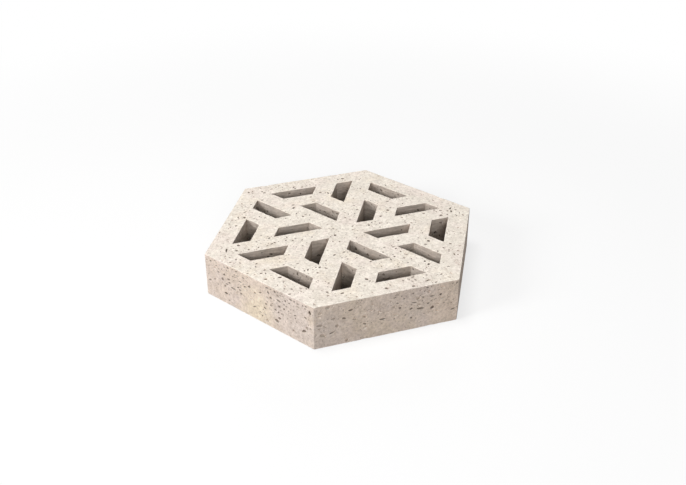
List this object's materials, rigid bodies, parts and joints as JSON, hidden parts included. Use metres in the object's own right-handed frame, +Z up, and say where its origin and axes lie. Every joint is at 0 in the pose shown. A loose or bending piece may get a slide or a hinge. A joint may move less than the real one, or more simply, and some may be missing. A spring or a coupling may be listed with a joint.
{
  "type": "hexagonal openwork concrete paving slab",
  "caption": "Flat hexagonal concrete paver with straight sides, pierced by trapezoid slots set in pinwheels between ribs of equal width.",
  "frame": {"origin": "middle of the bottom face, which lies on the ground", "axes": "+Z up through the thickness; +Y towards a corner, so the longest way is along Y; +X towards a flat side"},
  "size_m": [0.433, 0.5, 0.08],
  "materials": {
    "concrete": "pale cream cast concrete, fine sandy grain with small pits"
  },
  "bodies": {
    "root": {"slab": "concrete"}
  },
  "joints": []
}
